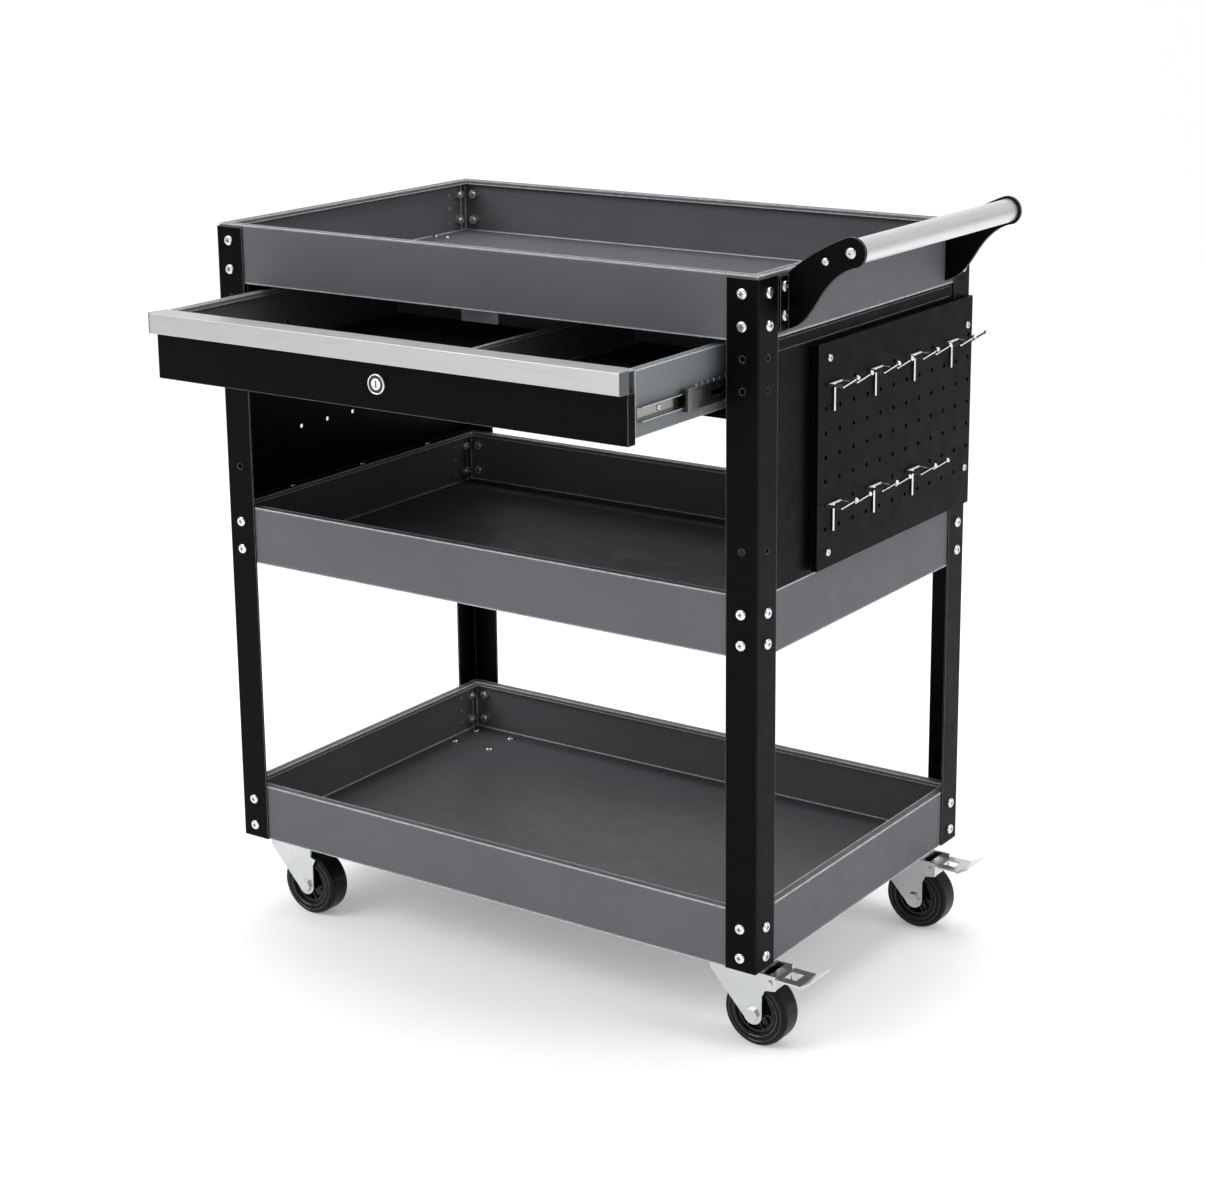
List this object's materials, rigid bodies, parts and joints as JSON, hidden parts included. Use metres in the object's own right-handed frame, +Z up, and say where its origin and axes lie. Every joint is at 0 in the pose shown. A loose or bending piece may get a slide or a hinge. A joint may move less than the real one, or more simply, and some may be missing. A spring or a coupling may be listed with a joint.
{
  "type": "rolling tool cart",
  "caption": "Three-shelf rolling tool cart with a lockable drawer, perforated side board with wire hooks, push handle and swivel casters with brakes.",
  "frame": {"origin": "middle of the whole footprint at floor level, with the drawer part open and the handle included", "axes": "+X towards the push handle end, -Y towards the drawer front, +Z up"},
  "size_m": [0.7888, 0.6134, 0.8545],
  "materials": {
    "post_black": "satin",
    "tray_grey": "satin",
    "drawer_grey": "satin",
    "pull_silver": "satin",
    "zinc": "bright zinc",
    "chrome": "polished",
    "black_screw": "satin",
    "tyre_black": "smooth",
    "hub_black": "satin",
    "cap_grey": "matt",
    "plug_black": "matt"
  },
  "bodies": {
    "frame": {"post_front_left": "post_black", "post_front_right": "post_black", "post_rear_left": "post_black", "post_rear_right": "post_black", "top_tray": "tray_grey", "middle_tray": "tray_grey", "bottom_tray": "tray_grey", "side_panel_left": "post_black", "side_panel_right": "post_black", "rear_panel": "post_black", "frame_bolts": "zinc", "frame_nuts": "zinc", "panel_screws": "zinc", "pegboard": "post_black", "pegboard_fixings": "zinc", "peg_hooks": "chrome", "handle_bracket_front": "post_black", "handle_bracket_rear": "post_black", "handle_tube": "pull_silver", "handle_plugs": "plug_black", "handle_bolts": "zinc", "slide_hangers": "post_black", "slide_outer_members": "zinc", "lock_strike": "zinc", "caster_bolts": "zinc", "caster_plates": "zinc", "caster_kingpins": "zinc"},
    "drawer": {"drawer_box": "drawer_grey", "drawer_front": "post_black", "drawer_pull": "pull_silver", "drawer_pull_caps": "cap_grey", "drawer_divider": "drawer_grey", "drawer_screws": "zinc", "lock_barrel": "chrome", "lock_nut": "zinc", "slide_inner_members": "zinc"},
    "lock_core": {"lock_plug": "chrome", "lock_cam": "zinc"},
    "slide_left": {"slide_middle_left": "zinc", "slide_stop_left": "plug_black"},
    "slide_right": {"slide_middle_right": "zinc", "slide_stop_right": "plug_black"},
    "caster_front_left": {"caster_fork_front_left": "zinc", "caster_axle_front_left": "zinc"},
    "wheel_front_left": {"wheel_tyre_front_left": "tyre_black", "wheel_hub_front_left": "hub_black"},
    "caster_front_right": {"caster_fork_front_right": "zinc", "caster_axle_front_right": "zinc"},
    "wheel_front_right": {"wheel_tyre_front_right": "tyre_black", "wheel_hub_front_right": "hub_black"},
    "brake_front_right": {"brake_pedal_front_right": "zinc"},
    "caster_rear_left": {"caster_fork_rear_left": "zinc", "caster_axle_rear_left": "zinc"},
    "wheel_rear_left": {"wheel_tyre_rear_left": "tyre_black", "wheel_hub_rear_left": "hub_black"},
    "caster_rear_right": {"caster_fork_rear_right": "zinc", "caster_axle_rear_right": "zinc"},
    "wheel_rear_right": {"wheel_tyre_rear_right": "tyre_black", "wheel_hub_rear_right": "hub_black"},
    "brake_rear_right": {"brake_pedal_rear_right": "zinc"}
  },
  "joints": [
    {"name": "drawer_slide", "type": "slide", "parent": "frame", "child": "drawer", "axis": [0, -1, 0], "range_m": [-0.15, 0.21]},
    {"name": "slide_left_travel", "type": "slide", "parent": "frame", "child": "slide_left", "axis": [0, -1, 0], "range_m": [-0.075, 0.105]},
    {"name": "slide_right_travel", "type": "slide", "parent": "frame", "child": "slide_right", "axis": [0, -1, 0], "range_m": [-0.075, 0.105]},
    {"name": "lock_turn", "type": "hinge", "parent": "drawer", "child": "lock_core", "pos_m": [-0.0411, -0.29465, 0.702], "axis": [0, 1, 0], "range_deg": [0, 90]},
    {"name": "caster_front_left_swivel", "type": "hinge", "parent": "frame", "child": "caster_front_left", "pos_m": [-0.3471, -0.09865, 0.086], "axis": [0, 0, 1], "continuous": true},
    {"name": "wheel_front_left_spin", "type": "hinge", "parent": "caster_front_left", "child": "wheel_front_left", "pos_m": [-0.3231, -0.09865, 0.0375], "axis": [0, 1, 0], "continuous": true},
    {"name": "caster_front_right_swivel", "type": "hinge", "parent": "frame", "child": "caster_front_right", "pos_m": [0.2649, -0.09865, 0.086], "axis": [0, 0, 1], "continuous": true},
    {"name": "wheel_front_right_spin", "type": "hinge", "parent": "caster_front_right", "child": "wheel_front_right", "pos_m": [0.2889, -0.09865, 0.0375], "axis": [0, 1, 0], "continuous": true},
    {"name": "brake_front_right_press", "type": "hinge", "parent": "caster_front_right", "child": "brake_front_right", "pos_m": [0.3089, -0.09865, 0.077], "axis": [0, 1, 0], "range_deg": [0, 12]},
    {"name": "caster_rear_left_swivel", "type": "hinge", "parent": "frame", "child": "caster_rear_left", "pos_m": [-0.3471, 0.25735, 0.086], "axis": [0, 0, 1], "continuous": true},
    {"name": "wheel_rear_left_spin", "type": "hinge", "parent": "caster_rear_left", "child": "wheel_rear_left", "pos_m": [-0.3231, 0.25735, 0.0375], "axis": [0, 1, 0], "continuous": true},
    {"name": "caster_rear_right_swivel", "type": "hinge", "parent": "frame", "child": "caster_rear_right", "pos_m": [0.2649, 0.25735, 0.086], "axis": [0, 0, 1], "continuous": true},
    {"name": "wheel_rear_right_spin", "type": "hinge", "parent": "caster_rear_right", "child": "wheel_rear_right", "pos_m": [0.2889, 0.25735, 0.0375], "axis": [0, 1, 0], "continuous": true},
    {"name": "brake_rear_right_press", "type": "hinge", "parent": "caster_rear_right", "child": "brake_rear_right", "pos_m": [0.3089, 0.25735, 0.077], "axis": [0, 1, 0], "range_deg": [0, 12]}
  ],
  "couplings": [
    {"joint": "slide_left_travel", "follows": "drawer_slide", "ratio": 0.5},
    {"joint": "slide_right_travel", "follows": "drawer_slide", "ratio": 0.5}
  ]
}
